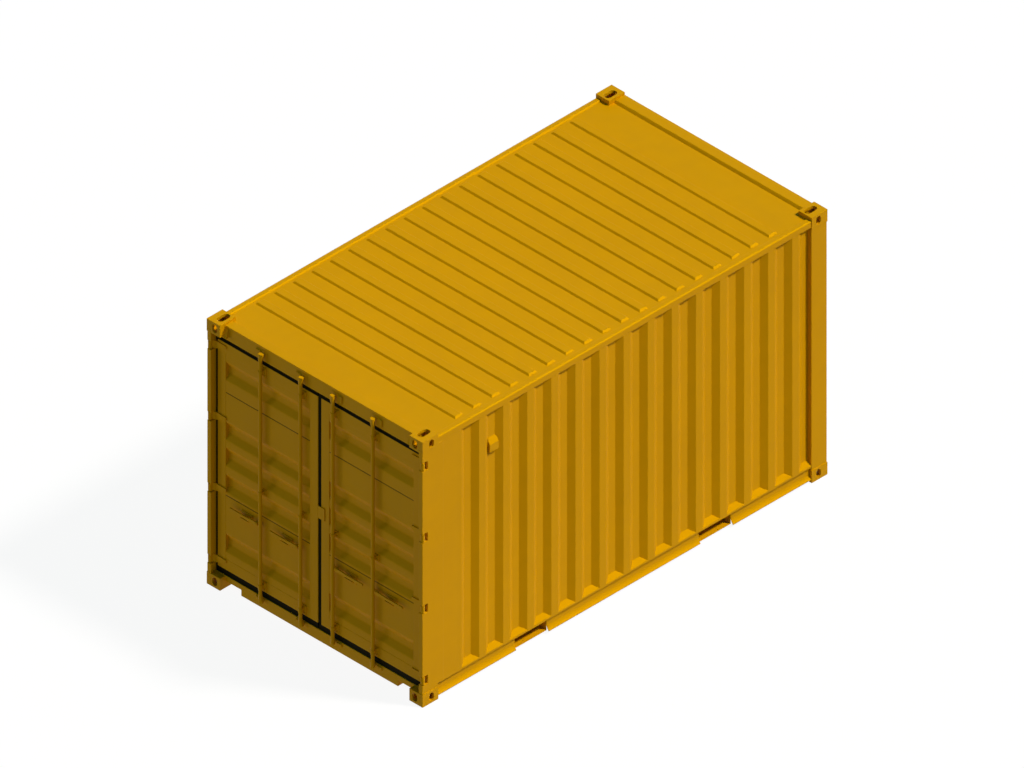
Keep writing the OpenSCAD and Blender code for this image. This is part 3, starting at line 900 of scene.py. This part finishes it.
@dataclass
class DoorSeal:
    """Rubber seal of one leaf: a base on the leaf's edge with two lips towards the frame."""

    profile: Sequence[tuple[float, float]] = (
        (0.0, 0.0), (0.3, 0.0), (0.6, 0.1), (1.0, 0.02), (1.0, 0.13), (0.62, 0.24), (0.42, 0.28), (0.36, 0.5),
        (0.42, 0.72), (0.62, 0.76), (1.0, 0.87), (1.0, 0.98), (0.6, 0.9), (0.3, 1.0), (0.0, 1.0),
    )
    least_width: float = 0.5 * MM

    def build(self, side: Side, palette: Palette) -> bpy.types.Object:
        """Draws the seal's section round the edges of the leaf that have one.

        Args:
            side: The leaf's side.
            palette: The materials.

        Returns:
            The seal.
        """
        sections, closed = self._sections(side)
        shaper = Shaper()
        corners = [shaper.shape.verts.new(place) for place in sections[0]]
        loop = [shaper.shape.edges.new(pair) for pair in zip(corners, corners[1:] + corners[:1])]
        if not closed:
            shaper.shape.faces.new(corners)
        for section, following in zip(sections, sections[1:]):
            loop = self._follow(shaper.shape, loop, section, following)
        if not closed:
            bmesh.ops.contextual_create(shaper.shape, geom=loop)
        bmesh.ops.remove_doubles(shaper.shape, verts=shaper.shape.verts, dist=CLOSE)
        bmesh.ops.recalc_face_normals(shaper.shape, faces=shaper.shape.faces)
        seal = shaper.done(f"{side.word}_seal_lips", f"{side.word}_door", Finish.SEAL, palette)
        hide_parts(f"{side.word}_door_seal")
        return seal

    def _sections(self, side: Side) -> tuple[list[list[Vector]], bool]:
        """Places the seal's section at each corner of the leaf, in the order in which the seal runs.

        Args:
            side: The leaf's side.

        Returns:
            The sections, and whether the seal runs all the way round.
        """
        leaf_low, leaf_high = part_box(f"{side.word}_door_frame")
        low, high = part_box(f"{side.word}_door_seal")
        corners: list[list[Vector]] = [[], [], [], []]
        for out, back in self.profile:
            near = leaf_low.lerp(low, out)
            far = leaf_high.lerp(high, out)
            depth = low.y + (high.y - low.y) * back
            places = ((far.x, near.z), (near.x, near.z), (near.x, far.z), (far.x, far.z))
            for corner, (x, z) in zip(corners, places):
                corner.append(Vector((x, depth, z)))
        closed = high.x - leaf_high.x > self.least_width
        return (corners + corners[:1] if closed else corners), closed

    @staticmethod
    def _follow(shape: bmesh.types.BMesh, loop: list, section: list[Vector], following: list[Vector]) -> list:
        """Draws a loop of edges from one section to the next.

        Args:
            shape: The seal's bmesh.
            loop: The edges at the first section.
            section: The first section's places.
            following: The next section's places.

        Returns:
            The edges at the next section.
        """
        grown = bmesh.ops.extrude_edge_only(shape, edges=loop)["geom"]
        fresh = {item for item in grown if isinstance(item, bmesh.types.BMVert)}
        edges = [item for item in grown
                 if isinstance(item, bmesh.types.BMEdge) and fresh.issuperset(item.verts)]
        for corner in fresh:
            nearest = min(range(len(section)), key=lambda n: (section[n] - corner.co).length)
            corner.co = following[nearest]
        return edges


@dataclass
class PlywoodFloor:
    """Plywood sheets with open joints, and the screws that hold them to the cross members."""

    sheet_length: float = 1160 * MM
    joint: float = 3 * MM
    screw_radius: float = 6 * MM
    sheet_edge: float = 1.2 * MM
    screw_rows: int = 8
    screw_height: float = 0.9 * MM
    screw_sunk: float = 0.5 * MM
    screw_sides: int = 16
    screw_turned: float = 0.4

    def build(self, frame: dict, palette: Palette) -> list[bpy.types.Object]:
        """Lays the sheets in the floor's place and sets the screws.

        Args:
            frame: The loaded frame.
            palette: The materials.

        Returns:
            The sheets and the screws.
        """
        low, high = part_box("floor_boards")
        sheets = Shaper()
        count = max(1, round((high.y - low.y) / self.sheet_length))
        pitch = (high.y - low.y) / count
        middle = (low.x + high.x) / 2
        half_joint = self.joint / 2
        for n in range(count):
            start = low.y + n * pitch + (half_joint if n else 0)
            end = low.y + (n + 1) * pitch - (half_joint if n < count - 1 else 0)
            for left, right in ((low.x, middle - half_joint), (middle + half_joint, high.x)):
                sheets.box(Vector((left, start, low.z)), Vector((right, end, high.z)), self.sheet_edge)
        floor = sheets.done("floor_sheets", "root", Finish.FLOOR, palette)
        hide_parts("floor_boards")
        return [floor, self._screws(low, high, frame, palette)]

    def _screws(self, low: Vector, high: Vector, frame: dict, palette: Palette) -> bpy.types.Object:
        """Sets rows of flat screw heads over the cross members.

        Args:
            low: The floor's lowest corner.
            high: The floor's highest corner.
            frame: The loaded frame.
            palette: The materials.

        Returns:
            The screws.
        """
        shaper = Shaper()
        up = Vector((0, 0, 1))
        for first, last in solids(frame["nodes"]["cross_members"]):
            y = (first.y + last.y) / 2
            for n in range(self.screw_rows):
                x = low.x + (high.x - low.x) * (n + 0.5) / self.screw_rows
                foot = Vector((x, y, high.z - self.screw_sunk))
                shaper.stud(foot, up, self.screw_radius, self.screw_height, self.screw_sides,
                            self.screw_turned)
        return shaper.done("floor_screws", "root", Finish.PAINT, palette)


@dataclass
class Studio:
    """Plain pale floor, soft light, and a camera at the photograph's viewing angle."""

    picture: tuple[int, int] = (1024, 768)
    pixels_per_metre: float = 125.25
    object_centre_px: tuple[float, float] = (517.1, 396.2)
    azimuth: float = 45.0
    elevation: float = 35.264
    distance: float = 20.0
    far_clip: float = 200.0
    sun_from: tuple[float, float, float] = (0.51, 0.35, 0.78)
    sun_strength: float = 3.55
    lamp_colour: tuple[float, float, float] = (1.0, 0.92, 0.85)
    sun_angle: float = 8.0
    fill_from: tuple[float, float, float] = (-0.8, -0.6, 0.02)
    fill_strength: float = 0.34
    fill_angle: float = 9.0
    glint_from: tuple[float, float, float] = (0.425, 0.577, 0.683)
    glint_strength: float = 8.0
    glint_colour: tuple[float, float, float] = (1.0, 0.75, 0.0)
    glint_angle: float = 8.0
    sky: float = 0.16
    sky_colour: tuple[float, float, float, float] = (0.3, 1.0, 1.0, 1.0)
    bounce: float = 0.43
    bounce_colour: tuple[float, float, float, float] = (1.0, 0.88, 0.8, 1.0)
    floor_tone: float = 0.5
    floor_glow: float = 1.12
    glow_share: float = 0.82
    floor_half: float = 60.0

    def build(self, low: Vector, high: Vector) -> None:
        """Makes the stage round the object's box.

        Args:
            low: The box's lowest corner.
            high: The box's highest corner.
        """
        self._camera((low + high) / 2)
        self._sun("sun", self.sun_from, self.sun_strength, self.lamp_colour, self.sun_angle)
        self._sun("fill", self.fill_from, self.fill_strength, self.lamp_colour, self.fill_angle)
        glint = self._sun("glint", self.glint_from, self.glint_strength, self.glint_colour, self.glint_angle)
        glint.visible_diffuse = False
        self._world()
        self._floor(low.z)

    def _camera(self, centre: Vector) -> None:
        """Makes the camera of the photograph's parallel view.

        Args:
            centre: The middle of the object's box.
        """
        data = bpy.data.cameras.new("camera")
        data.type = "ORTHO"
        data.ortho_scale = self.picture[0] / self.pixels_per_metre
        data.clip_end = self.far_clip
        camera = bpy.data.objects.new("camera", data)
        bpy.context.scene.collection.objects.link(camera)
        turn = Matrix.Rotation(math.radians(self.azimuth), 4, "Z")
        tilt = Matrix.Rotation(math.radians(90 - self.elevation), 4, "X")
        basis = turn @ tilt
        right = (self.picture[0] / 2 - self.object_centre_px[0]) / self.pixels_per_metre
        up = (self.object_centre_px[1] - self.picture[1] / 2) / self.pixels_per_metre
        offset = basis @ Vector((right, up, self.distance))
        camera.matrix_world = Matrix.Translation(centre + offset) @ basis
        bpy.context.scene.camera = camera

    @staticmethod
    def _sun(name: str, source: Sequence[float], strength: float, colour: Sequence[float],
             angle: float) -> bpy.types.Object:
        """Makes one soft light from far away.

        Args:
            name: The light's name.
            source: The direction it comes from.
            strength: Its strength.
            colour: Its colour.
            angle: Its width in degrees, which softens its shadows.

        Returns:
            The light.
        """
        data = bpy.data.lights.new(name, "SUN")
        data.energy = strength
        data.color = colour
        data.angle = math.radians(angle)
        sun = bpy.data.objects.new(name, data)
        sun.rotation_euler = Vector(source).to_track_quat("Z", "Y").to_euler()
        bpy.context.scene.collection.objects.link(sun)
        return sun

    @staticmethod
    def _seen(graph: Graph) -> Value:
        """Tells what the camera sees from what only lights the object.

        Args:
            graph: The graph of the world or of the floor's material.

        Returns:
            1 for what is seen directly or in gloss and glass, or else 0.
        """
        path = graph.node("ShaderNodeLightPath")
        direct = Value(graph, path.outputs["Is Camera Ray"])
        gloss = Value(graph, path.outputs["Is Glossy Ray"])
        glass = Value(graph, path.outputs["Is Transmission Ray"])
        return (direct + gloss + glass).at_most(1.0)

    def _world(self) -> None:
        """Makes the even sky, white where it is seen."""
        world = bpy.data.worlds.new("sky")
        bpy.context.scene.world = world
        graph = Graph(world)
        seen = self._seen(graph)
        colour = graph.mix(seen, self.sky_colour, WHITE)
        sky = graph.node("ShaderNodeBackground", None,
                         {"Color": colour, "Strength": seen * (1 - self.sky) + self.sky})
        graph.node("ShaderNodeOutputWorld", None, {"Surface": sky.outputs[0]})

    def _floor(self, level: float) -> None:
        """Makes the floor, nearly white where it is seen, with the object's shadow.

        Args:
            level: The height of the floor.
        """
        shape = bmesh.new()
        bmesh.ops.create_grid(shape, x_segments=1, y_segments=1, size=self.floor_half)
        bmesh.ops.translate(shape, verts=shape.verts, vec=(0, 0, level))
        ground = add_object("studio_floor", shape)
        made = bpy.data.materials.new("studio_floor")
        graph = Graph(made)
        pale = graph.node("ShaderNodeBsdfDiffuse", None, {"Color": (self.floor_tone,) * 3 + (1,)})
        glow = graph.node("ShaderNodeEmission", None, {"Color": WHITE, "Strength": self.floor_glow})
        bounce = graph.node("ShaderNodeEmission", None,
                            {"Color": self.bounce_colour, "Strength": self.bounce})
        seen = self._seen(graph)
        both = graph.node("ShaderNodeMixShader", None,
                          {0: self.glow_share, 1: pale.outputs[0], 2: glow.outputs[0]})
        floor = graph.node("ShaderNodeMixShader", None,
                           {0: seen, 1: bounce.outputs[0], 2: both.outputs[0]})
        graph.node("ShaderNodeOutputMaterial", None, {"Surface": floor.outputs[0]})
        ground.data.materials.append(made)
        ground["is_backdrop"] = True


def main() -> None:
    """Builds the dressed container and its studio."""
    logging.basicConfig(level=logging.INFO, format="%(message)s")
    bpy.context.scene.view_settings.view_transform = "Standard"
    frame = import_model()
    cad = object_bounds()
    palette = Palette()
    Studio().build(*cad)
    for piece in Container().build(frame, palette):
        LOG.info("made %s", piece.name)
    LOG.info("made %s", WeldSeams().build(frame, palette).name)
    for piece in PlywoodFloor().build(frame, palette):
        LOG.info("made %s", piece.name)
    for side in Side:
        LOG.info("made %s", BracketBolts().build(side, frame, palette).name)
        LOG.info("made %s", DoorSeal().build(side, palette).name)
        LOG.info("made %s", SeamSealant().build(side, palette).name)


if __name__ == "__main__":
    main()
